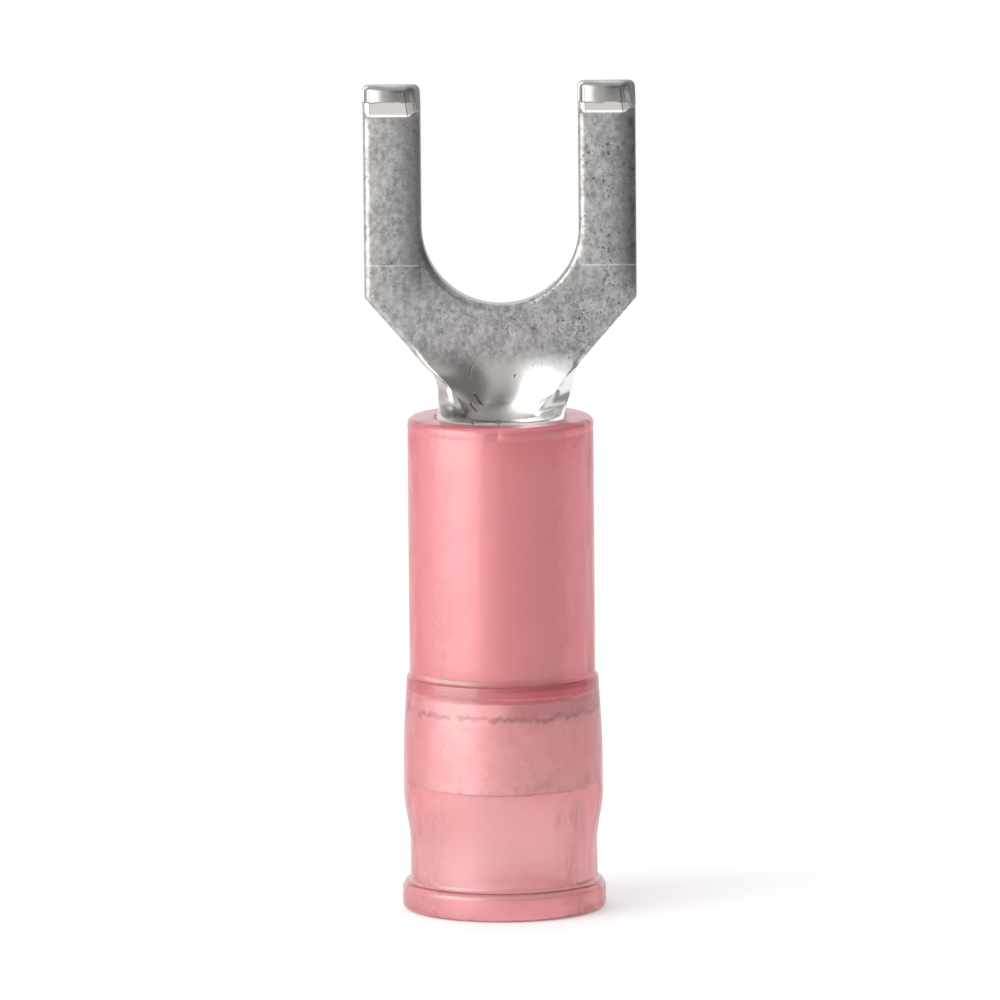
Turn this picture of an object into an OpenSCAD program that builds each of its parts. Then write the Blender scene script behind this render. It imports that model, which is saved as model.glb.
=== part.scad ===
// Fork terminal: a rolled sheet terminal, an insulation sleeve and a nylon insulator.
// Millimetres. The origin is the centre of the insulator's lower face, +Z runs up the barrel
// axis to the fork, and -Y is the side of the seam, the scoop and the turned tips.

/* [Fork tongue] */
// Thickness of the sheet stock
stock_t = 0.8; // [0.6:0.05:1]
// Width of the slot for the stud
slot_w = 4.4; // [3.2:0.1:6.5]
// Width of each tine
tine_w = 1.6; // [1.2:0.1:2.4]
// Depth of the slot, from the outer face of the turned tips to its round seat
slot_depth = 6.3; // [5:0.05:9]
// Height of the web, from the top of the neck to the slot's seat
web_h = 1.63; // [1.4:0.01:3.6]
// Slope of the flanks from the barrel axis, in degrees
flank_angle = 41; // [32:1:48]
// Radius of the corner where a flank meets its tine
shoulder_r = 0.15; // [0.05:0.05:0.4]

/* [Turned tips] */
// Reach of the turned tips in front of the tongue
tip_reach = 0.75; // [0.6:0.05:1.6]
// Inner radius of the bend
tip_bend_r = 0.2; // [0.1:0.05:0.35]
// Narrowing of a tip on each side, from the bend to its end
tip_taper = 0.1; // [0.02:0.02:0.3]
// Radius of the corners at the end of a tip
tip_corner_r = 0.12; // [0.05:0.01:0.2]

/* [Scoop neck] */
// Width of the neck where the scoop ends and the flanks begin
waist_w = 4.4; // [3.8:0.1:4.8]
// Height of the scoop above the barrel's mouth
scoop_h = 1.3; // [0.9:0.05:2]
// How early the roll opens: 1 opens it evenly up the scoop, more opens it nearer the mouth
roll_opening = 1.75; // [1.4:0.05:2.2]
// How far the ears stand out past the barrel on each side
ear_spread = 0.13; // [0.05:0.01:0.2]
// Radius of the fillet at the foot of the ears, on the flat blank
ear_foot_r = 0.25; // [0.1:0.05:0.4]
// Thinning of each face of the stock where it is rolled
roll_thinning = 0.01; // [0.01:0.005:0.03]

/* [Wire barrel] */
// Outer diameter of the barrel
barrel_od = 3.6; // [3.2:0.1:4.4]
// Length of the barrel
barrel_len = 7.32; // [5.5:0.02:10]
// Height of the barrel's mouth above the insulator
mouth_rise = 0.05; // [0:0.05:0.4]
// Gap between the rolled edges at the seam
seam_gap = 0.06; // [0.04:0.02:0.2]
// Width of the groove left outside the seam by the edges' round corners
seam_groove_w = 0.3; // [0.24:0.02:0.5]
// Depth of that groove
seam_groove_depth = 0.16; // [0.05:0.01:0.3]
// Number of serrations inside the barrel
serration_count = 3; // [1:1:4]
// Width of a serration
serration_w = 0.4; // [0.2:0.05:0.6]
// Depth of a serration
serration_depth = 0.1; // [0.04:0.01:0.2]
// Distance from one serration to the next
serration_pitch = 1.1; // [0.8:0.1:1.3]
// Chamfer inside the barrel's lower edge, where the strands go in
barrel_chamfer = 0.15; // [0.05:0.05:0.3]

/* [Insulation sleeve] */
// Outer diameter of the sleeve
sleeve_od = 4.2; // [4.1:0.05:5]
// Wall of the sleeve
sleeve_t = 0.35; // [0.2:0.05:0.4]
// Length of the sleeve
sleeve_len = 2.6; // [2:0.1:4]
// Gap in the rolled sleeve
sleeve_seam = 0.12; // [0.04:0.02:0.3]
// Chamfer on the sleeve's inner edges
sleeve_chamfer = 0.1; // [0.05:0.01:0.15]

/* [Insulator] */
// Nylon wall over the barrel
barrel_wall = 0.775; // [0.5:0.025:1.2]
// Nylon wall over the sleeve, and round the entry
sleeve_wall = 0.665; // [0.5:0.005:1]
// Step from the barrel's nylon out to the ramp over the sleeve
step_out = 0.08; // [0.04:0.01:0.15]
// Height of the ramp from that step to the crown
ramp_h = 1.45; // [0.8:0.05:2]
// Length of the crown below the sleeve's lower edge
crown_lead = 0.17; // [0:0.01:0.4]
// Height of the swell from the entry out to the crown
swell_h = 1.45; // [0.8:0.05:2]
// Height of the stop rib between the sleeve and the barrel
rib_h = 0.45; // [0.3:0.05:0.9]
// Diameter of the entry bore under the sleeve
entry_d = 3.9; // [3.7:0.05:4]
// Height of the entry, from the lower face to the sleeve's seat
entry_h = 3.48; // [3:0.01:5]
// Diameter of the funnel at the lower face
funnel_d = 4.7; // [4.2:0.1:5]
// Height of the funnel
funnel_h = 0.9; // [0.4:0.1:1.4]
// Rim of the flange outside the entry
flange_rim = 0.23; // [0.15:0.01:0.6]
// Height of the flange
flange_h = 0.78; // [0.5:0.02:1.2]
// Radius of the flange's edges
flange_edge_r = 0.16; // [0.05:0.01:0.2]
// Radius of the fillet over the flange
flange_fillet_r = 0.12; // [0.05:0.01:0.2]
// Radius of the outer edge at the top
top_edge_r = 0.18; // [0.05:0.01:0.3]

/* [Fits] */
// Radial clearance between the nylon and the metal in it
fit_gap = 0.02; // [0.01:0.01:0.04]
// End play of the sleeve under the stop rib
end_play = 0.05; // [0.02:0.01:0.1]
// Clearance of the stop rib's guide outside the barrel's bore
guide_gap = 0.04; // [0.02:0.01:0.08]

/* [Hidden] */
$fn = 96;
cut = 1;            // overrun of a cutting solid past the face that it opens
arc_steps = 5;      // straight steps in a small rounded edge
swell_steps = 8;    // straight steps in the swell's curve
neck_cols = 36;     // steps across the neck's sheet
neck_foot_rows = 8; // steps up the foot of the ears
neck_ear_rows = 14; // steps from there to the top of the scoop
ear_rise = 0.4;     // share of the scoop's height in which the ears stand out
waist_power = 4;    // how late the neck widens to its waist
flat_share = 0.01;  // share of the scoop's height under the tongue that counts as flat
neck_lap = 0.1;     // how far the neck's ends reach into the barrel and the tongue

barrel_r = barrel_od / 2;
barrel_bore_r = barrel_r - stock_t;
barrel_mid_r = barrel_r - stock_t / 2;
sleeve_r = sleeve_od / 2;
sleeve_bore_r = sleeve_r - sleeve_t;
pocket_r = sleeve_r + fit_gap;
entry_r = entry_d / 2;

sleeve_z = entry_h;
rib_z = sleeve_z + sleeve_len + end_play;
barrel_z = rib_z + rib_h;
mouth_z = barrel_z + barrel_len;
insulator_h = mouth_z - mouth_rise;
waist_z = mouth_z + scoop_h;
seat_z = waist_z + web_h;
top_z = seat_z + slot_depth;

fork_w = slot_w + 2 * tine_w;
slot_r = slot_w / 2;
tongue_front_y = barrel_r - stock_t;
flank_slope = tan(flank_angle);
shoulder_z = waist_z + (fork_w - waist_w) / 2 / flank_slope;
bend_z = top_z - stock_t - tip_bend_r;
bend_y = tongue_front_y - tip_bend_r;

shell_r = barrel_r + fit_gap + barrel_wall;
step_r = shell_r + step_out;
crown_r = pocket_r + sleeve_wall;
collar_r = entry_r + sleeve_wall;
flange_r = collar_r + flange_rim;
crown_z = sleeve_z - crown_lead;

// Points of an arc about c, from angle a to angle b
function arc(c, r, a, b, steps = arc_steps) =
    [for (i = [0:steps]) let (t = a + (b - a) * i / steps) c + r * [cos(t), sin(t)]];

// The scoop at a share u of its height: the middle radius of its roll, which opens from the barrel's
// to the flat tongue's, and the half width of the neck that its ears reach.
function scoop_r(u) = barrel_mid_r / pow(max(1 - u, flat_share), roll_opening);
function scoop_half(u) = barrel_r - roll_thinning
    + ear_spread * (1 - pow(1 - min(u / ear_rise, 1), 2))
    + (waist_w / 2 - barrel_r - ear_spread) * pow(u, waist_power);

// Extra width of the sheet at a height, from the fillet at the foot of the ears
function ear_foot(h) =
    let (short = min(max(ear_foot_r - h, 0), ear_foot_r))
    ear_foot_r - sqrt(pow(ear_foot_r, 2) - pow(short, 2));

// A point of the scoop at a height: s runs from -1 to 1 across the sheet, off is its distance
// behind the middle of the sheet
function neck_point(h, s, off) =
    let (
        u = min(max(h / scoop_h, 0), 1),
        r = scoop_r(u),
        ear = asin(min(scoop_half(u) / (r + stock_t / 2 - roll_thinning), 1)),
        turn = s * (ear + ear_foot(h) / r * 180 / PI))
    [(r + off) * sin(turn), barrel_mid_r - r + (r + off) * cos(turn), mouth_z + h];

// One closed section of the neck: the back of the sheet, then its front
function neck_ring(h) =
    let (off = stock_t / 2 - roll_thinning)
    concat(
        [for (i = [0:neck_cols]) neck_point(h, 2 * i / neck_cols - 1, off)],
        [for (i = [neck_cols:-1:0]) neck_point(h, 2 * i / neck_cols - 1, -off)]);

// The sheet between the barrel's round mouth and the flat tongue
module rolled_neck() {
    heights = concat(
        [-neck_lap],
        [for (i = [0:neck_foot_rows]) ear_foot_r * (1 - cos(90 * i / neck_foot_rows))],
        [for (i = [1:neck_ear_rows]) ear_foot_r + (scoop_h - ear_foot_r) * i / neck_ear_rows],
        [scoop_h + neck_lap]);
    ring = 2 * (neck_cols + 1);
    last = (len(heights) - 1) * ring;
    skin = [for (row = [0:len(heights) - 2], i = [0:ring - 1])
        let (a = row * ring + i, b = row * ring + (i + 1) % ring)
        each [[a, b, b + ring], [a, b + ring, a + ring]]];
    ends = [for (i = [0:neck_cols - 1])
        let (a = i, b = i + 1, c = ring - 2 - i, d = ring - 1 - i)
        each [[d, c, b], [d, b, a], [last + a, last + b, last + c], [last + a, last + c, last + d]]];
    polyhedron(points = [for (h = heights) each neck_ring(h)], faces = concat(skin, ends));
}

// The flat fork, with its round-ended slot
module tongue() {
    corner = shoulder_r * tan(flank_angle / 2);
    right = concat(
        [[waist_w / 2, waist_z]],
        arc([fork_w / 2 - shoulder_r, shoulder_z + corner], shoulder_r, -flank_angle, 0),
        [[fork_w / 2, bend_z]]);
    left = [for (i = [len(right) - 1:-1:0]) [-right[i].x, right[i].y]];
    translate([0, barrel_r, 0])
        rotate([90, 0, 0])
            linear_extrude(stock_t)
                difference() {
                    polygon(concat(right, left));
                    translate([0, seat_z + slot_r]) circle(slot_r);
                    translate([-slot_r, seat_z + slot_r]) square([slot_w, slot_depth]);
                }
}

// One turned tip: the bend and the short tapered end, on the tine that starts at x
module turned_tip(x) {
    translate([x, bend_y, bend_z])
        rotate([90, 0, 90])
            rotate_extrude(angle = 90)
                translate([tip_bend_r, 0]) square([stock_t, tine_w]);
    end_y = tongue_front_y - tip_reach;
    near = tip_taper + tip_corner_r;
    translate([x, 0, top_z - stock_t])
        linear_extrude(stock_t)
            polygon(concat(
                [[0, bend_y]],
                arc([near, end_y + tip_corner_r], tip_corner_r, 180, 270),
                arc([tine_w - near, end_y + tip_corner_r], tip_corner_r, 270, 360),
                [[tine_w, bend_y]]));
}

// The rolled barrel, with its seam, its serrations and its chamfered entry
module barrel() {
    serration_z = barrel_z + (barrel_len - (serration_count - 1) * serration_pitch - serration_w) / 2;
    difference() {
        translate([0, 0, barrel_z]) cylinder(r = barrel_r, h = barrel_len);
        translate([0, 0, barrel_z - cut]) cylinder(r = barrel_bore_r, h = barrel_len + 2 * cut);
        translate([0, 0, barrel_z])
            cylinder(r1 = barrel_bore_r + barrel_chamfer, r2 = barrel_bore_r, h = barrel_chamfer);
        for (i = [0:serration_count - 1])
            translate([0, 0, serration_z + i * serration_pitch])
                cylinder(r = barrel_bore_r + serration_depth, h = serration_w);
        translate([-seam_gap / 2, -barrel_r - cut, barrel_z - cut])
            cube([seam_gap, barrel_r + cut, barrel_len + 2 * cut]);
        translate([0, -barrel_r, barrel_z - cut])
            linear_extrude(barrel_len + 2 * cut)
                polygon([[-seam_groove_w / 2, -cut], [-seam_groove_w / 2, 0],
                    [0, seam_groove_depth], [seam_groove_w / 2, 0], [seam_groove_w / 2, -cut]]);
    }
}

module terminal() color("silver") {
    barrel();
    rolled_neck();
    tongue();
    turned_tip(slot_r);
    turned_tip(-slot_r - tine_w);
}

module insulation_sleeve() color("tan") {
    difference() {
        translate([0, 0, sleeve_z])
            rotate_extrude()
                polygon([
                    [sleeve_bore_r + sleeve_chamfer, 0], [sleeve_r, 0], [sleeve_r, sleeve_len],
                    [sleeve_bore_r + sleeve_chamfer, sleeve_len],
                    [sleeve_bore_r, sleeve_len - sleeve_chamfer], [sleeve_bore_r, sleeve_chamfer]]);
        translate([-sleeve_seam / 2, 0, sleeve_z - cut])
            cube([sleeve_seam, sleeve_r + cut, sleeve_len + 2 * cut]);
    }
}

// The insulator's outer half section, from the lower face up
function outer_profile() = concat(
    arc([flange_r - flange_edge_r, flange_edge_r], flange_edge_r, -90, 0),
    arc([flange_r - flange_edge_r, flange_h - flange_edge_r], flange_edge_r, 0, 90),
    arc([collar_r + flange_fillet_r, flange_h + flange_fillet_r], flange_fillet_r, 270, 180),
    [for (i = [0:swell_steps]) let (t = i / swell_steps)
        [collar_r + (crown_r - collar_r) * (1 - cos(180 * t)) / 2, crown_z - swell_h * (1 - t)]],
    [[crown_r, barrel_z - ramp_h], [step_r, barrel_z], [shell_r, barrel_z]],
    arc([shell_r - top_edge_r, insulator_h - top_edge_r], top_edge_r, 0, 90));

// Its inner half section, from the top down: the barrel's bore, the rib, the pocket and the entry
function inner_profile() = [
    [barrel_r + fit_gap, insulator_h], [barrel_r + fit_gap, barrel_z],
    [barrel_bore_r + guide_gap, barrel_z], [sleeve_bore_r + guide_gap, rib_z],
    [pocket_r, rib_z], [pocket_r, sleeve_z],
    [entry_r, sleeve_z], [entry_r, funnel_h], [funnel_d / 2, 0]];

module insulator() color("lightcoral")
    rotate_extrude() polygon(concat(outer_profile(), inner_profile()));

terminal();
insulation_sleeve();
insulator();
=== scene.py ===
import bpy
import bmesh
import math
from mathutils import Matrix, Vector


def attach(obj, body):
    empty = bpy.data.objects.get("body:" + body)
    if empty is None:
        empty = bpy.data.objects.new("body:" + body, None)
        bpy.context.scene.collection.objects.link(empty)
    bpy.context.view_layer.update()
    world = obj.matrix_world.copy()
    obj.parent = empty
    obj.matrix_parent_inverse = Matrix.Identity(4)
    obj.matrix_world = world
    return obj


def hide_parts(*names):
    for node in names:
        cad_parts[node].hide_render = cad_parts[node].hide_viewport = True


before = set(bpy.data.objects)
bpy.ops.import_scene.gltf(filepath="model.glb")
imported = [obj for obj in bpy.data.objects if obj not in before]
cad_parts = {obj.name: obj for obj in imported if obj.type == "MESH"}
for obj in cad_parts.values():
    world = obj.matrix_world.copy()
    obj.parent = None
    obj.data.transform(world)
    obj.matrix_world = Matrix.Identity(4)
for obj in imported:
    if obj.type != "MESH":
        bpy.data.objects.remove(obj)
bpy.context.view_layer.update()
mm = 0.001  # sizes below are in millimetres, the scene is in metres
scene = bpy.context.scene
scene.view_settings.view_transform = "Standard"
print("frame loaded:", sorted(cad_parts))


# camera: a long lens a little above and to the right of the front
shot = {
    "aim": (0, 0, 11.6),
    "azimuth": 1.7,
    "elevation": 8.4,
    "roll": 0.5,
    "distance": 400,
    "mmPerPixel": 0.0279,
    "aimPixel": (501, 496),
    "framePixels": 1000,
    "sensor": 36,
    "clip": (0.01, 20),
}


def placeCamera():
    az, el = math.radians(shot["azimuth"]), math.radians(shot["elevation"])
    back = Vector((math.sin(az) * math.cos(el), -math.cos(az) * math.cos(el), math.sin(el)))
    roll = Matrix.Rotation(-math.radians(shot["roll"]), 3, "Z")
    turn = (-back).to_track_quat("-Z", "Y").to_matrix() @ roll
    bpy.ops.object.camera_add()
    camera = bpy.context.object
    camera.name = "photoCamera"
    half = shot["framePixels"] / 2
    offX = (shot["aimPixel"][0] - half) * shot["mmPerPixel"]
    offY = (half - shot["aimPixel"][1]) * shot["mmPerPixel"]
    place = Vector(shot["aim"]) + back * shot["distance"] - turn.col[0] * offX - turn.col[1] * offY
    camera.matrix_world = Matrix.Translation(place * mm) @ turn.to_4x4()
    camera.data.sensor_width = shot["sensor"]
    camera.data.lens = shot["sensor"] * shot["distance"] / (shot["framePixels"] * shot["mmPerPixel"])
    camera.data.clip_start, camera.data.clip_end = shot["clip"]
    scene.camera = camera


# shader helper: a socket with operators, and one method for every other node
class Sock:
    def __init__(self, tree, socket):
        self.tree, self.socket = tree, socket

    def node(self, kind, settings=None, out=0, **inputs):
        return makeNode(self.tree, kind, settings, out, inputs)

    def maths(self, operation, *values):
        made = self.tree.nodes.new("ShaderNodeMath")
        made.operation = operation
        for socket, value in zip(made.inputs, values):
            feed(self.tree, socket, value)
        return Sock(self.tree, made.outputs[0])

    def __add__(self, other): return self.maths("ADD", self, other)
    def __radd__(self, other): return self.maths("ADD", other, self)
    def __sub__(self, other): return self.maths("SUBTRACT", self, other)
    def __rsub__(self, other): return self.maths("SUBTRACT", other, self)
    def __mul__(self, other): return self.maths("MULTIPLY", self, other)
    def __rmul__(self, other): return self.maths("MULTIPLY", other, self)
    def __pow__(self, other): return self.maths("POWER", self, other)
    def __neg__(self): return self.maths("MULTIPLY", self, -1)
    def __abs__(self): return self.maths("ABSOLUTE", self)
    def high(self, other): return self.maths("MAXIMUM", self, other)

    def step(self, start, end):  # smooth rise from 0 at start to 1 at end
        return self.node("ShaderNodeMapRange", {"interpolation_type": "SMOOTHSTEP"},
                         Value=self, **{"From Min": start, "From Max": end})

    def band(self, middle, half, soft):  # 1 near middle, 0 past half + soft
        return 1 - abs(self - middle).step(half, half + soft)


def feed(tree, socket, value):
    if isinstance(value, Sock):
        tree.links.new(value.socket, socket)
    else:
        socket.default_value = value


def makeNode(tree, kind, settings=None, out=0, inputs=None):
    made = tree.nodes.new(kind)
    for key, value in (settings or {}).items():
        setattr(made, key, value)
    for key, value in (inputs or {}).items():  # a socket by name, or by number as i0, i1
        socket = made.inputs[int(key[1:])] if key[0] == "i" and key[1:].isdigit() else made.inputs[key]
        feed(tree, socket, value)
    return Sock(tree, made.outputs[out])


def blend(factor, one, other):  # colour mix
    tree = factor.tree
    return makeNode(tree, "ShaderNodeMix", {"data_type": "RGBA"}, 2, {"i0": factor, "i6": one, "i7": other})


def newMaterial(name):
    material = bpy.data.materials.new(name)
    material.use_nodes = True
    tree = material.node_tree
    shader = tree.nodes["Principled BSDF"]
    coords = makeNode(tree, "ShaderNodeTexCoord", None, 3)
    inMm = makeNode(tree, "ShaderNodeVectorMath", {"operation": "SCALE"}, 0,
                    {"i0": coords, "Scale": 1000.0})
    axes = [makeNode(tree, "ShaderNodeSeparateXYZ", None, axis, {"i0": inMm}) for axis in range(3)]
    return material, tree, shader, inMm, axes


def noise(place, scale, detail=2.0, rough=0.5, warp=0.0, out=0):
    return place.node("ShaderNodeTexNoise", None, out, Vector=place, Scale=scale, Detail=detail,
                      Roughness=rough, Distortion=warp)


def stretch(place, scales):
    return place.node("ShaderNodeMapping", None, 0, Vector=place, Scale=scales)


# studio: pale floor, white behind, bright on the left and dim on the right
studio = {
    "floorSize": 3.0,
    "floorTone": 0.80,
    "floorRough": 0.9,
    "floorGloss": 0.1,
    "floorLift": 0.25,
    "rightTone": 0.285,
    "leftTone": 0.95,
    "edge": (-0.20, 0.22),
    "backTone": 1.25,
    "backEdge": (0.0, 0.35),
    "backSpread": 0.7,
    "topTone": 0.9,
    "topEdge": (0.35, 0.9),
    "keyPlace": (-0.30, -0.16, 0.24),
    "keySize": 0.22,
    "keyPower": 0.2,
    "keyAim": 0.011,
    "cardPlace": (-0.0509, -0.0318, 0.031),
    "cardSize": (0.069, 0.06),
    "cardPower": 0.030,
    "cardTint": (1.0, 0.965, 0.92),
}


def makeStudio():
    bpy.ops.mesh.primitive_plane_add(size=studio["floorSize"], location=(0, 0, 0))
    floor = bpy.context.object
    floor.name = "studioFloor"
    material = bpy.data.materials.new("paleFloor")
    material.use_nodes = True
    tree = material.node_tree
    shader = tree.nodes["Principled BSDF"]
    shader.inputs["Base Color"].default_value = (studio["floorTone"],) * 3 + (1,)
    shader.inputs["Roughness"].default_value = studio["floorRough"]
    shader.inputs["Specular IOR Level"].default_value = studio["floorGloss"]
    shader.inputs["Emission Color"].default_value = (1, 1, 1, 1)
    camera, glossy, through = [makeNode(tree, "ShaderNodeLightPath", None, out) for out in (0, 3, 6)]
    shown = camera.high(glossy).high(through)  # seen directly, in the metal and through the nylon
    tree.links.new((shown * studio["floorLift"]).socket, shader.inputs["Emission Strength"])
    floor.data.materials.append(material)

    world = bpy.data.worlds.new("studioWorld")
    scene.world = world
    world.use_nodes = True
    tree = world.node_tree
    ground = tree.nodes["Background"]
    ray = makeNode(tree, "ShaderNodeTexCoord", None, 0)
    x, y, z = [makeNode(tree, "ShaderNodeSeparateXYZ", None, axis, {"i0": ray}) for axis in range(3)]
    side = (-x).step(*studio["edge"])
    tone = studio["rightTone"] + side * (studio["leftTone"] - studio["rightTone"])
    over = z.step(*studio["topEdge"])
    tone = tone * (1 - over) + over * studio["topTone"]
    behind = (y - abs(x) * studio["backSpread"]).step(*studio["backEdge"])
    tone = tone * (1 - behind) + behind * studio["backTone"]
    seen = makeNode(tree, "ShaderNodeLightPath", None, 0)
    tone = tone * (1 - seen) + seen
    colour = makeNode(tree, "ShaderNodeCombineColor", None, 0, {"i0": tone, "i1": tone, "i2": tone})
    tree.links.new(colour.socket, ground.inputs["Color"])

    for name, place, size, power in (
            ("keyLight", studio["keyPlace"], (studio["keySize"],) * 2, studio["keyPower"]),
            ("sideCard", studio["cardPlace"], studio["cardSize"], studio["cardPower"])):
        bpy.ops.object.light_add(type="AREA", location=place)
        lamp = bpy.context.object
        lamp.name = name
        lamp.data.shape = "RECTANGLE"
        lamp.data.size, lamp.data.size_y = size
        lamp.data.energy = power
        lamp.data.color = studio["cardTint"] if name == "sideCard" else (1, 1, 1)
        lamp.visible_camera = False
        aim = Vector((0, 0, studio["keyAim"] if name == "keyLight" else place[2])) - lamp.location
        lamp.rotation_mode = "QUATERNION"
        lamp.rotation_quaternion = aim.to_track_quat("-Z", "Y")


# modelling helpers
def cleanSelection():
    if bpy.context.object and bpy.context.object.mode != "OBJECT":
        bpy.ops.object.mode_set(mode="OBJECT")
    bpy.ops.object.select_all(action="DESELECT")


def selectWhere(piece, test, kind="verts"):
    mesh = bmesh.from_edit_mesh(piece.data)
    bpy.ops.mesh.select_all(action="DESELECT")
    bpy.ops.mesh.select_mode(type={"verts": "VERT", "edges": "EDGE", "faces": "FACE"}[kind])
    for part in getattr(mesh, kind):
        part.select_set(bool(test(part)))
    mesh.select_flush_mode()
    bmesh.update_edit_mesh(piece.data)


def applyModifier(piece, kind, **settings):
    modifier = piece.modifiers.new(kind.lower(), kind)
    for key, value in settings.items():
        setattr(modifier, key, value)
    bpy.context.view_layer.objects.active = piece
    bpy.ops.object.modifier_apply(modifier=modifier.name)


def arc(centre, radius, start, end, steps):
    turns = [math.radians(start + (end - start) * i / steps) for i in range(steps + 1)]
    return [(centre[0] + radius * math.cos(t), centre[1] + radius * math.sin(t)) for t in turns]


def lathe(name, outline, steps, turn=360.0, start=0.0):
    cleanSelection()
    bpy.ops.mesh.primitive_plane_add(size=mm, location=(0, 0, 0))
    piece = bpy.context.object
    piece.name = piece.data.name = name
    bpy.ops.object.mode_set(mode="EDIT")
    bpy.ops.mesh.merge(type="CENTER")
    heading = Vector((math.cos(math.radians(start)), math.sin(math.radians(start)), 0))
    bpy.ops.transform.translate(value=heading * outline[0][0] * mm + Vector((0, 0, outline[0][1] * mm)))
    for (ra, za), (rb, zb) in zip(outline, outline[1:]):
        move = heading * (rb - ra) * mm + Vector((0, 0, (zb - za) * mm))
        bpy.ops.mesh.extrude_vertices_move(TRANSFORM_OT_translate={"value": move})
    selectWhere(piece, lambda v: v.index in (0, len(outline) - 1))
    bpy.ops.mesh.edge_face_add()  # closes the outline
    bpy.ops.mesh.select_all(action="SELECT")
    bpy.ops.mesh.spin(steps=steps, angle=math.radians(turn), center=(0, 0, 0), axis=(0, 0, 1))
    bpy.ops.mesh.select_all(action="SELECT")
    bpy.ops.mesh.remove_doubles(threshold=1e-6)
    bpy.ops.mesh.normals_make_consistent(inside=False)
    return piece


# the nylon insulator
shell = {
    "collarR": 2.615, "crownR": 2.785, "shellR": 2.595, "stepR": 2.675, "flangeR": 2.845,
    "flangeH": 0.78, "edgeR": 0.19, "filletR": 0.15, "topR": 0.18,
    "swellFrom": 1.86, "swellTo": 3.31, "rampFrom": 4.23, "rampBow": 1.6, "stepZ": 6.58, "topZ": 13.85,
    "lipZ": 13.44, "barrelR": 1.82, "ribR": 1.04, "ribZ": 6.13, "ribFootR": 1.79, "pocketR": 2.09,
    "seatZ": 3.48, "entryR": 1.95, "funnelZ": 0.9, "funnelR": 2.35,
    "stepEdge": 0.03, "stepFoot": 0.02, "lineDepth": 0.014, "lineRise": (0.05, 0.08, 0.13), "boreEdge": 0.05,
    "swellSteps": 14, "rampSteps": 12, "wallSteps": 8, "steps": 128, "smooth": 32,
}


def buildInsulator():
    k = shell
    outline = [(k["funnelR"], 0.0)]
    outline += arc((k["flangeR"] - k["edgeR"], k["edgeR"]), k["edgeR"], -90, 0, 6)
    outline += arc((k["flangeR"] - k["edgeR"], k["flangeH"] - k["edgeR"]), k["edgeR"], 0, 90, 6)
    outline += arc((k["collarR"] + k["filletR"], k["flangeH"] + k["filletR"]), k["filletR"], 270, 180, 5)
    for i in range(k["swellSteps"] + 1):
        t = i / k["swellSteps"]
        outline.append((k["collarR"] + (k["crownR"] - k["collarR"]) * (1 - math.cos(math.pi * t)) / 2,
                        k["swellFrom"] + (k["swellTo"] - k["swellFrom"]) * t))
    edge, foot = k["stepEdge"], k["stepFoot"]
    for i in range(1, k["rampSteps"] + 1):  # gently bowed ramp up to the step
        t = i / k["rampSteps"]
        outline.append((k["crownR"] + (k["stepR"] - k["crownR"]) * t ** k["rampBow"],
                        k["rampFrom"] + (k["stepZ"] - k["rampFrom"] - edge) * t))
    outline += [(k["stepR"] - edge * 0.4, k["stepZ"] - edge * 0.27), (k["stepR"] - edge, k["stepZ"]),
                (k["shellR"] + foot, k["stepZ"] + foot * 0.2), (k["shellR"], k["stepZ"] + foot)]
    for i in range(1, k["wallSteps"] + 1):
        outline.append((k["shellR"], k["stepZ"] + (k["lipZ"] - k["stepZ"]) * i / k["wallSteps"]))
    lineR, (lineLow, lineHigh, lineEnd) = k["shellR"] - k["lineDepth"], k["lineRise"]
    outline += [(lineR, k["lipZ"] + lineLow), (lineR, k["lipZ"] + lineHigh),
                (k["shellR"], k["lipZ"] + lineEnd)]  # faint line under the rim
    outline += arc((k["shellR"] - k["topR"], k["topZ"] - k["topR"]), k["topR"], 0, 90, 7)
    outline += [(k["barrelR"] + k["boreEdge"], k["topZ"]), (k["barrelR"], k["topZ"] - k["boreEdge"]),
                (k["barrelR"], k["stepZ"]),
                (k["ribR"], k["stepZ"]), (k["ribFootR"], k["ribZ"]), (k["pocketR"], k["ribZ"]),
                (k["pocketR"], k["seatZ"]), (k["entryR"], k["seatZ"]), (k["entryR"], k["funnelZ"])]
    piece = lathe("nylonInsulator", outline, k["steps"])
    bpy.ops.object.mode_set(mode="OBJECT")
    bpy.ops.object.shade_smooth_by_angle(angle=math.radians(k["smooth"]))
    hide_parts("insulator")
    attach(piece, "root")
    return piece


# the metal sleeve round the wire's insulation
sleeve = {
    "outR": 2.1, "boreR": 1.75, "low": 3.48, "high": 6.08, "edge": 0.1, "corner": 0.04, "seam": 0.12,
    "rows": 16, "steps": 120, "smooth": 32,
}


def buildSleeve():
    k = sleeve
    rise = k["high"] - k["low"] - 2 * k["corner"]
    outline = [(k["boreR"] + k["edge"], k["low"]), (k["outR"] - k["corner"], k["low"])]
    for i in range(k["rows"] + 1):
        outline.append((k["outR"], k["low"] + k["corner"] + rise * i / k["rows"]))
    outline += [(k["outR"] - k["corner"], k["high"]), (k["boreR"] + k["edge"], k["high"]),
                (k["boreR"], k["high"] - k["edge"]), (k["boreR"], k["low"] + k["edge"])]
    gap = math.degrees(k["seam"] / k["outR"])
    piece = lathe("insulationSleeve", outline, k["steps"], 360 - gap, 90 + gap / 2)
    selectWhere(piece, lambda e: e.is_boundary, "edges")
    bpy.ops.mesh.edge_face_add()
    bpy.ops.mesh.select_all(action="SELECT")
    bpy.ops.mesh.normals_make_consistent(inside=False)
    bpy.ops.object.mode_set(mode="OBJECT")
    bpy.ops.object.shade_smooth_by_angle(angle=math.radians(k["smooth"]))
    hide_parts("insulation_sleeve")
    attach(piece, "root")
    return piece


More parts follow.
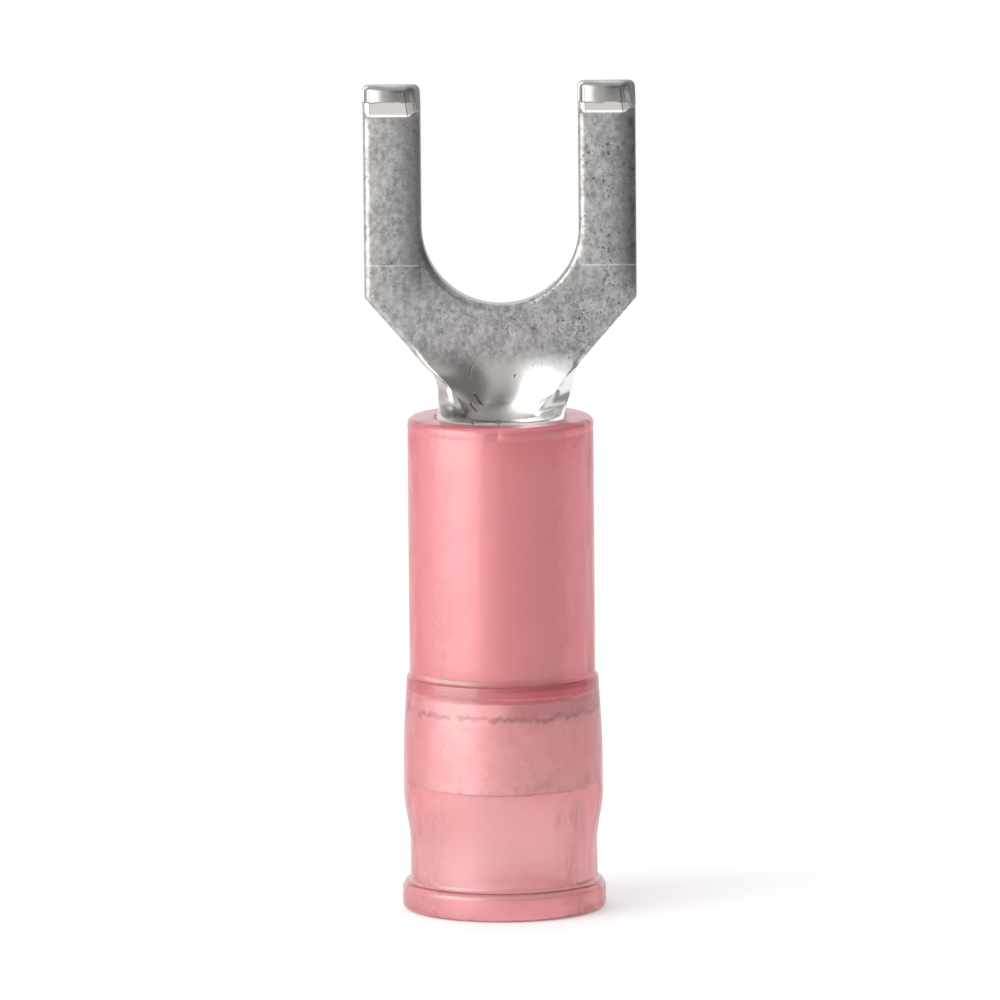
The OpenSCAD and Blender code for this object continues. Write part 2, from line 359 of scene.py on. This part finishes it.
# the terminal: a sheet blank rolled into the barrel, then carried on as the fork
sheet = {
    "stock": 0.8, "barrelR": 1.8, "barrelZ": 6.58, "mouthZ": 13.9, "seamGap": 0.001,
    "scoopH": 1.3, "unroll": 1.6, "waist": 4.4, "earSpread": 0.13, "footR": 0.25, "lean": 0.1,
    "slotR": 2.2, "slotZ": 19.03, "forkHalf": 3.8, "shoulderZ": 17.04, "topZ": 23.13,
    "dish": 0.26, "dishSide": (0.2, 2.2), "dishDeep": (0.9, 1.35),
    "dishFoot": (13.9, 14.9), "dishTop": (14.9, 15.7),
    "bendR": 0.2, "tipReach": 0.75, "tipNarrow": (0.04, 0.26), "tipFrom": 22, "faceY": 0.3,
    "tipFlare": 0.15, "flareY": (0.9, 0.6), "flareZ": (22.33, 0.8),
    "tipRise": 0.05, "riseFrom": 19.2, "riseOver": 2,
    "burr": 0.05, "burrZ": 22.36, "lowerEdge": 22.5,
    "rollOver": 0.17, "rollSteps": 5, "seamHalf": 0.1, "cornerAngle": 60, "smooth": 45,
    "columns": 44, "edgeColumn": 0.08, "barrelRows": 12, "earRows": 36, "fanZ": 9.5,
    "webRows": 8, "flankSteps": 9, "shoulderSteps": 8, "tineSteps": 9, "bendSteps": 8, "tipSteps": 3,
}


def rollShape(z):  # the roll's middle radius and the ear edge's half width on the blank
    k = sheet
    half = k["stock"] / 2
    u = min(max((z - k["mouthZ"]) / k["scoopH"], 0), 1)
    r = (k["barrelR"] - half) / max(1 - u, 1e-3) ** k["unroll"]
    spread = k["earSpread"] * (1 - (1 - min(u / 0.4, 1)) ** 2)
    width = k["barrelR"] + spread + (k["waist"] / 2 - k["barrelR"] - k["earSpread"]) * u ** 4
    return r, r * math.asin(min(width / (r + half), 1))


def ease(value, start, end):  # smooth rise from 0 at start to 1 at end
    t = min(max((value - start) / (end - start), 0), 1)
    return t * t * (3 - 2 * t)


def dished(x, y, z):  # a place in the sheet's middle, with the scoop's two sides pressed forward
    k = sheet
    reach = ease(z, *k["dishFoot"]) * (1 - ease(z, *k["dishTop"]))
    forward = k["dish"] * ease(abs(x), *k["dishSide"]) * ease(y, *k["dishDeep"]) * reach
    return Vector((x, y - forward, z)) * mm


def rolled(w, z, off=0.0):  # a place on the flat blank, carried to the rolled sheet
    k = sheet
    r = rollShape(z)[0]
    lean = k["lean"] * math.sin(math.pi * min(max((z - k["mouthZ"]) / k["scoopH"], 0), 1))
    out = Vector((math.sin(w / r), math.cos(w / r), 0))
    return dished(lean + r * out.x, k["barrelR"] - k["stock"] / 2 - r + r * out.y, z) + out * off * mm


def blankEdge():  # the blank's edge from the seam corner to the waist, evenly spaced
    k = sheet
    midR = k["barrelR"] - k["stock"] / 2
    fine = [Vector((midR * math.pi - k["seamGap"], k["mouthZ"]))]
    for i in range(401):
        z = k["mouthZ"] + k["scoopH"] * (i / 400) ** 2
        short = max(k["footR"] - (z - k["mouthZ"]), 0)
        fillet = k["footR"] - math.sqrt(k["footR"] ** 2 - short ** 2)
        fine.append(Vector((rollShape(z)[1] + fillet, z)))
    along = [0.0]
    for one, two in zip(fine, fine[1:]):
        along.append(along[-1] + (two - one).length)
    edge, j = [], 0
    for i in range(k["earRows"] + 1):
        want = along[-1] * i / k["earRows"]
        while j < len(fine) - 2 and along[j + 1] < want:
            j += 1
        share = (want - along[j]) / (along[j + 1] - along[j])
        edge.append(fine[j] + (fine[j + 1] - fine[j]) * min(share, 1))
    return edge


def outerPoint(corner, t):  # along the fork's outline, from one corner to the next
    a, b = corner
    return Vector(a) + (Vector(b) - Vector(a)) * t


def buildTerminal():
    k = sheet
    cleanSelection()
    edge = blankEdge()
    waistZ = edge[-1].y
    rows = []  # each row of the blank: half width, height at the middle, height at the edge
    for i in range(k["barrelRows"]):
        t = i / k["barrelRows"]
        rows.append((edge[0].x, k["barrelZ"] + (k["fanZ"] - k["barrelZ"]) * t,
                     k["barrelZ"] + (edge[0].y - k["barrelZ"]) * t))
    for i, point in enumerate(edge):
        rows.append((point.x, k["fanZ"] + (waistZ - k["fanZ"]) * i / k["earRows"], point.y))
    inner = k["columns"] - 2
    reach = 1 - k["edgeColumn"]
    shares = [-1] + [-reach + 2 * reach * i / inner for i in range(inner + 1)] + [1]
    bpy.ops.mesh.primitive_grid_add(x_subdivisions=k["columns"], y_subdivisions=len(rows) - 1, size=1)
    piece = bpy.context.object
    piece.name = piece.data.name = "forkTerminal"
    places = []
    for vertex in piece.data.vertices:  # roll the blank
        share = shares[round((vertex.co.x + 0.5) * k["columns"])]
        width, middleZ, edgeZ = rows[round((vertex.co.y + 0.5) * (len(rows) - 1))]
        places.append((share * width, middleZ + (edgeZ - middleZ) * abs(share)))
        vertex.co = rolled(*places[-1])
    midY = (k["barrelR"] - k["stock"] / 2) * mm
    centre = Vector((0, k["slotZ"]))
    bpy.ops.object.mode_set(mode="EDIT")

    # the web, row by row from the waist to the slot's round seat
    selectWhere(piece, lambda e: all(abs(v.co.z - waistZ * mm) < 1e-7 for v in e.verts), "edges")
    for row in range(1, k["webRows"] + 1):
        bpy.ops.mesh.extrude_edges_move(TRANSFORM_OT_translate={"value": (0, 0, mm)})
        mesh = bmesh.from_edit_mesh(piece.data)
        chosen = sorted((v for v in mesh.verts if v.select), key=lambda v: v.co.x)
        for vertex, share in zip(chosen, shares):
            foot = Vector((share * k["waist"] / 2, waistZ))
            seat = centre + (foot - centre).normalized() * k["slotR"]
            at = foot + (seat - foot) * row / k["webRows"]
            vertex.co = dished(at.x, midY / mm, at.y)
        bmesh.update_edit_mesh(piece.data)

    # each side, step by step up the flank, round the shoulder and along the tine
    bendZ = k["topZ"] - k["stock"] - k["bendR"]
    for side in (-1, 1):
        waistCorner, shoulder = (side * k["waist"] / 2, waistZ), (side * k["forkHalf"], k["shoulderZ"])
        level, end = (side * k["forkHalf"], k["slotZ"]), (side * k["forkHalf"], bendZ)
        route = []
        for stretchEnds, steps in (((waistCorner, shoulder), k["flankSteps"]),
                                   ((shoulder, level), k["shoulderSteps"]), ((level, end), k["tineSteps"])):
            route += [outerPoint(stretchEnds, i / steps) for i in range(1, steps + 1)]
        corner = Vector((waistCorner[0], waistZ))
        def onRay(v):
            at = Vector((v.co.x / mm, v.co.z / mm))
            ray = (corner - centre).normalized()
            return v.co.x * side > 0 and abs((at - centre).cross(ray)) < 1e-4 and at.y > waistZ - 1e-4
        selectWhere(piece, lambda e: all(onRay(v) for v in e.verts), "edges")
        for outer in route:
            bpy.ops.mesh.extrude_edges_move(TRANSFORM_OT_translate={"value": (0, 0, mm)})
            mesh = bmesh.from_edit_mesh(piece.data)
            chosen = sorted((v for v in mesh.verts if v.select), key=lambda v: -abs(v.co.x))
            if outer.y > k["slotZ"]:
                seat = Vector((side * k["slotR"], outer.y))
            else:
                seat = centre + (outer - centre).normalized() * k["slotR"]
            for i, vertex in enumerate(chosen):
                at = outer + (seat - outer) * i / k["webRows"]
                vertex.co = dished(at.x, midY / mm, at.y)
            bmesh.update_edit_mesh(piece.data)
        # the turned tip
        bpy.ops.mesh.spin(steps=k["bendSteps"], angle=-math.pi / 2, axis=(1, 0, 0),
                          center=(0, (k["barrelR"] - k["stock"] - k["bendR"]) * mm, bendZ * mm))
        ahead = k["tipReach"] - k["bendR"]
        left = min(side * k["slotR"], side * k["forkHalf"])
        wide = k["forkHalf"] - k["slotR"]
        for i in range(k["tipSteps"]):  # each tip narrows, more on its right
            move = (0, -ahead / k["tipSteps"] * mm, 0)
            bpy.ops.mesh.extrude_edges_move(TRANSFORM_OT_translate={"value": move})
            mesh = bmesh.from_edit_mesh(piece.data)
            t = (i + 1) / k["tipSteps"]
            low, high = k["tipNarrow"][0] * t, wide - k["tipNarrow"][1] * t
            chosen = sorted((v for v in mesh.verts if v.select), key=lambda v: v.co.x)
            for j, vertex in enumerate(chosen):
                vertex.co.x = (left + low + (high - low) * j / (len(chosen) - 1)) * mm
            bmesh.update_edit_mesh(piece.data)
    bpy.ops.mesh.select_all(action="SELECT")
    bpy.ops.mesh.remove_doubles(threshold=1e-6)
    bpy.ops.mesh.normals_make_consistent(inside=False)
    bpy.ops.object.mode_set(mode="OBJECT")
    count = len(piece.data.vertices)
    middles = [v.co.copy() for v in piece.data.vertices]
    for _ in range(2):
        bpy.ops.object.material_slot_add()
    applyModifier(piece, "SOLIDIFY", thickness=k["stock"] * mm, offset=0, material_offset_rim=1)
    middle = min(range(len(places)), key=lambda i: abs(places[i][0]))
    for start in (0, count):  # true both faces of the rolled and dished part
        off = k["stock"] / 2 * (1 if piece.data.vertices[start + middle].co.y > midY else -1)
        for i, place in enumerate(places):
            piece.data.vertices[start + i].co = rolled(*place, off)
        for i in range(len(places), count):
            if middles[i].z < k["dishTop"][1] * mm:
                piece.data.vertices[start + i].co = middles[i] + Vector((0, off * mm, 0))
    bpy.ops.object.mode_set(mode="EDIT")
    def rollsOver(e):  # sheared edges, but neither the closed seam's nor the tips' lower ones
        sheared = len({f.material_index for f in e.link_faces}) == 2
        seam = all(abs(v.co.x) < k["seamHalf"] * mm and v.co.y < 0
                   and v.co.z < k["mouthZ"] * mm + 1e-6 for v in e.verts)
        burr = all(v.co.y < k["faceY"] * mm
                   and k["tipFrom"] * mm < v.co.z < k["lowerEdge"] * mm for v in e.verts)
        corner = (all(f.material_index for f in e.link_faces)
                  and e.calc_face_angle() > math.radians(k["cornerAngle"]))
        return (sheared and not seam and not burr) or (corner and e.verts[0].co.z > k["tipFrom"] * mm)
    selectWhere(piece, rollsOver, "edges")
    bpy.ops.mesh.bevel(offset=k["rollOver"] * mm, segments=k["rollSteps"], affect="EDGES",
                       clamp_overlap=False)
    mesh = bmesh.from_edit_mesh(piece.data)
    for v in mesh.verts:  # the tips' flare, the shear's burr and the right tip's greater height
        x, y, z = v.co / mm
        if y < k["flareY"][0] and z > k["tipFrom"]:
            share = (x + (k["forkHalf"] if x < 0 else -k["slotR"])) / (k["forkHalf"] - k["slotR"])
            near = min((k["flareY"][0] - y) / k["flareY"][1], 1)
            lower = min(max(1 - (z - k["flareZ"][0]) / k["flareZ"][1], 0), 1)
            v.co.x += k["tipFlare"] * share * near * lower * mm
        if y < k["faceY"] and k["tipFrom"] < z < k["burrZ"]:
            v.co.z -= k["burr"] * mm
        if z > k["riseFrom"]:
            v.co.z += math.copysign(k["tipRise"] * min((z - k["riseFrom"]) / k["riseOver"], 1), x) * mm
    bmesh.update_edit_mesh(piece.data)
    bpy.ops.object.mode_set(mode="OBJECT")
    bpy.ops.object.shade_smooth_by_angle(angle=math.radians(k["smooth"]))
    applyModifier(piece, "WEIGHTED_NORMAL", keep_sharp=True, weight=80)
    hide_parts("terminal")
    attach(piece, "root")
    return piece


# the tin plate
tin = {
    "low": (0.25, 0.244, 0.242, 1), "high": (0.505, 0.496, 0.493, 1),
    "pitAndShade": (0.08, 0.078, 0.078, 1), "fleck": (0.66, 0.65, 0.64, 1),
    "burnished": (0.475, 0.452, 0.436, 1), "bright": (0.86, 0.85, 0.84, 1),
    "barrel": (0.93, 0.91, 0.89, 1), "tipTone": (0.36, 0.35, 0.345, 1),
    "fracture": (0.60, 0.58, 0.565, 1), "lip": (0.97, 0.96, 0.94, 1), "cup": (0.8, 0.79, 0.77, 1),
    "witness": (0.85, 0.84, 0.83, 1), "crease": (0.05, 0.05, 0.05, 1), "scratch": (0.92, 0.91, 0.9, 1),
    "faceRough": 0.37, "burnishedRough": 0.232, "fractureRough": 0.5, "cupRough": 0.6,
    "crown": 0.24, "crownShift": 0.22, "shade": 0.62,
    "mouthZ": 13.9, "waistZ": 15.2,
    "tineX": 3.0, "slotHalf": 2.2,
    "tipY": 0.3, "tipZ": 22.1, "fractureZ": 22.62, "lipZ": 22.33, "tipCrown": 0.7,
    "witnessZ": 17.96,
    "darkMarks": (  # creases and dents: two ends and a half width
        ((-0.78, 15.26), (-0.90, 14.80), 0.022), ((-0.76, 14.38), (-0.52, 14.02), 0.035),
        ((-0.86, 14.12), (-0.70, 13.86), 0.03), ((-3.60, 17.13), (-3.58, 17.12), 0.05),
        ((2.84, 17.4), (3.02, 17.72), 0.014), ((0.40, 14.86), (0.38, 14.82), 0.04),
        ((-1.64, 16.10), (-1.61, 16.04), 0.02), ((2.06, 15.1), (2.14, 15.25), 0.03),
    ),
    "lightMarks": (
        ((0.25, 16.15), (0.30, 15.96), 0.02), ((0.98, 17.0), (0.99, 16.86), 0.02),
        ((2.2, 16.86), (2.48, 16.42), 0.014),
        ((0.37, 16.1), (0.38, 15.98), 0.014),
    ),
}


def marks(x, z, listed, wobble):  # 1 on a list of short strokes
    total = None
    for (ax, az), (bx, bz), half in listed:
        dx, dz = bx - ax, bz - az
        length = math.hypot(dx, dz)
        along = (x - ax) * (dx / length) + (z - az) * (dz / length)
        aside = (x - ax) * (-dz / length) + (z - az) * (dx / length)
        past = abs(along - length / 2) - length / 2
        stroke = (1 - abs(aside + wobble).step(half * 0.5, half)) * (1 - past.step(-half, half))
        total = stroke if total is None else total.high(stroke)
    return total


def dots(place, scale):  # scattered round specks of uneven strength
    near = place.node("ShaderNodeTexVoronoi", None, 0, Vector=place, Scale=scale)
    cell = place.node("ShaderNodeTexVoronoi", None, 1, Vector=place, Scale=scale)
    chance = place.node("ShaderNodeSeparateColor", None, 0, i0=cell)
    return (1 - near.step(0.12, 0.48)) * chance.step(0.35, 0.9)


def tinFinish(name):
    k = tin
    material, tree, shader, place, (x, y, z) = newMaterial(name)
    patch = noise(place, 1.1, 4.0, 0.6)
    grain = noise(place, 7.0, 5.0, 0.7)
    warp = place.node("ShaderNodeVectorMath", {"operation": "MULTIPLY_ADD"}, 0,
                      i0=noise(place, 9.0, 3.0, 0.6, 0.0, 1), i1=(0.16, 0.16, 0.16), i2=place)
    fleck = noise(place, 16.0, 2.0, 0.5)
    streak = noise(stretch(place, (1, 1, 0.7)), 4.6, 5.0, 0.7)
    front = 1 - y.step(0.95, 1.2)
    inside = 1 - z.step(k["mouthZ"] - 0.4, k["mouthZ"] - 0.1)
    formed = 1 - z.step(k["waistZ"] - 0.3, k["waistZ"] + 0.3 + patch * 0.3)  # rolled and burnished
    tip = (1 - y.step(k["tipY"], k["tipY"] + 0.2)) * z.step(k["tipZ"], k["tipZ"] + 0.15)
    tear = z + (noise(place, 2.5, 3.0) - 0.5) * 0.14
    torn = tip * (1 - tear.step(k["fractureZ"] - 0.015, k["fractureZ"] + 0.015))
    smooth = formed.high(tip)
    side = x.maths("SIGN", x)
    across = (abs(x).high(k["slotHalf"]) - k["tineX"]) * side  # from the tine's middle, to the right
    onTine = z.step(16.6, 18.4) * (1 - tip)
    # painted shade: each tine darker towards its right side, more so on the right tine
    shade = across.step(0.0, 0.8) * onTine * (1 + x.step(0, 2) * 0.35)
    coarse = patch + x * 0.025 + shade * 0.12 + z.band(17.0, 0.2, 0.9) * 0.06
    coarse = coarse.step(0.46, 0.66)  # where the plating is grainier; the painted shade on the tines' right sides adds to it
    big, small = dots(warp, 7.0), dots(warp, 13.0)
    pits = (big * coarse).high(small * (0.3 + coarse * 0.7)) * (1 - smooth * 0.9)
    flecks = fleck.step(0.66, 0.74) * (1 - smooth)
    tone = blend((grain * 0.45 + streak * 0.55).step(0.36, 0.64), k["low"], k["high"])
    # painted highlight: the rolled part is lighter on its right, where the scoop faces the light, and darker
    # on its left
    tone = blend(smooth, tone, blend(x.step(0.1, 1.0), k["burnished"], k["bright"]))
    tone = blend(tip, tone, k["tipTone"])
    tone = blend(inside, tone, k["barrel"])
    cup = z.band(13.7, 0.05, 0.6) * y.step(0.2, 0.7)  # the scoop's foot, lighter and rougher: painted light standing in for light bounced into the mouth
    tone = blend(cup, tone, k["cup"])
    lip = tip * (1 - (z - side * 0.05).step(k["lipZ"], k["lipZ"] + 0.03))
    tone = blend(torn, tone, k["fracture"])
    tone = blend(lip, tone, k["lip"])
    tone = blend(flecks * 0.6, tone, k["fleck"])
    # the pit colour darkens the real pits and, as painted shade, the right side of each tine
    tone = blend((pits * 0.95).high(shade * k["shade"] * (0.2 + streak * 1.7)), tone, k["pitAndShade"])
    witness = (z + (patch - 0.5) * 0.05).band(k["witnessZ"], 0.008, 0.02) * abs(x).step(2.2, 2.35) * front
    tone = blend(witness * grain.step(0.25, 0.55) * 0.5, tone, k["witness"])
    wobble = (patch - 0.5) * 0.25 + (grain - 0.5) * 0.03
    dark = marks(x, z, k["darkMarks"], wobble)
    light = marks(x, z, k["lightMarks"], wobble)
    seen = 1 - y.step(1.25, 1.35)  # the strokes are on the front only
    tone = blend(dark * seen * 0.6, tone, k["crease"])
    tone = blend(light * seen * 0.4, tone, k["scratch"])
    rough = k["faceRough"] + (grain - 0.5) * 0.12 + pits * 0.12
    rough = rough * (1 - smooth) + smooth * (k["burnishedRough"] + (grain - 0.5) * 0.05)
    rough = (rough * (1 - torn) + torn * k["fractureRough"]).high(cup * k["cupRough"])
    shader.inputs["Metallic"].default_value = 1.0
    tree.links.new(tone.socket, shader.inputs["Base Color"])
    tree.links.new(rough.socket, shader.inputs["Roughness"])
    crown = (across + k["crownShift"]) ** 2 * onTine * (-k["crown"] / 2)
    crown = crown - across * across * tip * (1 - torn) * (k["tipCrown"] / 2)
    height = crown + (grain - 0.5) * 0.006 * (1 - smooth * 0.7) - pits * 0.004 - dark * seen * 0.02
    bump = makeNode(tree, "ShaderNodeBump", None, 0, {"Height": height, "Distance": mm, "Strength": 1.0})
    tree.links.new(bump.socket, shader.inputs["Normal"])
    return material


# the sleeve's metal, seen through the nylon
band = {
    "light": (0.95, 0.93, 0.89, 1), "low": (0.86, 0.83, 0.79, 1),
    "dark": (0.16, 0.12, 0.11, 1), "blot": (0.62, 0.56, 0.52, 1), "dim": (0.41, 0.25, 0.24, 1),
    "lineZ": 5.62, "lowZ": 3.48,
}


def sleeveFinish(name):
    k = band
    material, tree, shader, place, (x, _, z) = newMaterial(name)
    ragged = noise(stretch(place, (1, 1, 0.2)), 4.2, 6.0, 0.7)
    blot = noise(place, 2.2, 4.0, 0.6)
    grain = noise(place, 10.0, 3.0, 0.6)
    wander = (ragged - 0.5) * 0.7
    line = (z + wander).band(k["lineZ"], 0.02, 0.10) * blot.step(0.30, 0.52)
    rise = k["lowZ"] + x.step(-0.2, 1.2) * 0.2
    foot = (1 - (z + wander - rise).step(0.02, 0.24)) * blot.step(0.38, 0.6)
    tone = blend(grain.step(0.3, 0.7), k["low"], k["light"])
    tone = blend(blot.step(0.45, 0.75) * 0.25, tone, k["blot"])
    # painted shade: the sleeve's right half above its line is darker, tinted with the rib's red as a painted
    # reflection
    tone = blend(z.step(5.6, 5.72) * x.step(-0.1, 0.5) * 0.85, tone, k["dim"])
    tone = blend((line * 0.8).high(foot * 0.3), tone, k["dark"])
    shader.inputs["Metallic"].default_value = 1.0
    tree.links.new(tone.socket, shader.inputs["Base Color"])
    tree.links.new((0.34 + grain * 0.06 - z.step(5.5, 5.7) * 0.16).socket, shader.inputs["Roughness"])
    height = (grain * 0.004 + blot * 0.03) * (1 - z.step(5.4, 5.7) * 0.85)
    bump = makeNode(tree, "ShaderNodeBump", None, 0, {"Height": height, "Distance": mm, "Strength": 1.0})
    tree.links.new(bump.socket, shader.inputs["Normal"])
    return material


# the dyed nylon
nylon = {
    "upper": (0.965, 0.80, 0.815, 1), "lower": (0.965, 0.91, 0.915, 1),
    "flange": (0.98, 0.78, 0.81, 1), "ribTone": (0.99, 0.5, 0.58, 1),
    "milk": (0.96, 0.22, 0.29, 1), "ribMilk": (0.98, 0.17, 0.26, 1), "cream": (0.98, 0.72, 0.68, 1),
    "upperShare": 0.19, "lowerShare": 0.08,
    "ribShare": 0.36, "rimShare": 0.36, "creamShare": 0.3, "redShare": 0.6, "flangeShare": 0.02,
    "dye": (0.985, 0.51, 0.535, 1), "dyePerMetre": 1000.0,
    "roughness": 0.235, "ior": 1.53,
    "coatRough": 0.42, "coatIor": 1.95, "edgeMatt": 0.68, "milkRough": 0.45,
}


def nylonFinish(name):
    k = nylon
    material, tree, shader, place, (x, y, z) = newMaterial(name)
    cloud = noise(place, 0.8, 3.0, 0.5)
    flow = noise(stretch(place, (1, 1, 0.3)), 1.6, 3.0, 0.5)
    rho = (x * x + y * y) ** 0.5
    wander = (flow - 0.5) * 0.12
    tone = blend(z.step(3.2, 6.7), k["lower"], k["upper"])
    tone = blend(1 - z.step(0.6, 1.0), tone, k["flange"])
    rib = (1 - rho.step(1.9, 2.15)) * z.band(6.35, 0.26, 0.04)
    tone = blend(rib, tone, k["ribTone"])
    tree.links.new(tone.socket, shader.inputs["Base Color"])
    tree.links.new((k["roughness"] + (cloud - 0.5) * 0.06).socket, shader.inputs["Roughness"])
    shader.inputs["IOR"].default_value = k["ior"]
    shader.inputs["Transmission Weight"].default_value = 1.0
    facing = makeNode(tree, "ShaderNodeLayerWeight", None, 1, {"Blend": 0.5})
    gloss = 1 - facing.step(0.18, 0.73) * k["edgeMatt"]  # less sheen where the wall turns away
    tree.links.new(gloss.socket, shader.inputs["Coat Weight"])
    shader.inputs["Coat Roughness"].default_value = k["coatRough"]
    shader.inputs["Coat IOR"].default_value = k["coatIor"]
    # the rim band is the rib's red seen through the wall, painted on the front only and stronger to the
    # right: partly painted light
    front = (1 - y.step(-1.6, -0.4)) * (0.75 + x.step(-1.2, 1.4) * 0.25)
    outside = rho.step(2.2, 2.4)
    rim = outside * (z + wander * 0.6).band(6.36, 0.05, 0.17) * front
    # a red line at the rib, painted on the front left of middle only: partly the rib's red, partly painted
    # light
    red = outside * (z + wander * 0.3).band(6.25, 0.015, 0.05)
    red = red * x.step(-1.6, 0.6) * (1 - y.step(-2.2, -1.2))
    # painted highlight: a cream line above the step, on the left front only
    cream = outside * (z + wander).band(6.70, 0.03, 0.06)
    cream = cream * (1 - x.step(-1.0, 0.1)) * (1 - y.step(-1.7, -1.0))
    milk = tree.nodes.new("ShaderNodeBsdfPrincipled")
    milkTone = blend(rib.high(rim).high(red), k["milk"], k["ribMilk"])
    tree.links.new(blend(cream, milkTone, k["cream"]).socket, milk.inputs["Base Color"])
    milk.inputs["Roughness"].default_value = k["milkRough"]
    both = tree.nodes.new("ShaderNodeMixShader")
    upper = z.step(3.0, 4.2)
    share = k["lowerShare"] + upper * (k["upperShare"] - k["lowerShare"]) + (cloud - 0.5) * 0.06
    share = share.high(rib * k["ribShare"]).high(rim * k["rimShare"])
    share = share.high(cream * k["creamShare"]).high(red * k["redShare"])
    share = share + (1 - z.step(0.6, 1.0)) * k["flangeShare"]
    tree.links.new(share.socket, both.inputs[0])
    tree.links.new(shader.outputs[0], both.inputs[1])
    tree.links.new(milk.outputs[0], both.inputs[2])
    tree.links.new(both.outputs[0], tree.nodes["Material Output"].inputs["Surface"])
    height = (cloud - 0.5) * 0.09 + (flow - 0.5) * 0.04
    bump = makeNode(tree, "ShaderNodeBump", None, 0, {"Height": height, "Distance": mm, "Strength": 1.0})
    for part in (shader, milk):
        tree.links.new(bump.socket, part.inputs["Normal"])
    dye = makeNode(tree, "ShaderNodeVolumeAbsorption", None, 0,
                   {"Color": k["dye"], "Density": k["dyePerMetre"]})
    tree.links.new(dye.socket, tree.nodes["Material Output"].inputs["Volume"])
    return material


placeCamera()
makeStudio()
print("camera and studio ready")
pieces = (
    (buildInsulator(), nylonFinish("pinkNylon")),
    (buildSleeve(), sleeveFinish("sleeveTin")),
    (buildTerminal(), tinFinish("tinPlate")),
)
for piece, finish in pieces:
    piece.data.materials.clear()
    piece.data.materials.append(finish)
    print("piece ready:", piece.name, len(piece.data.polygons), "faces")
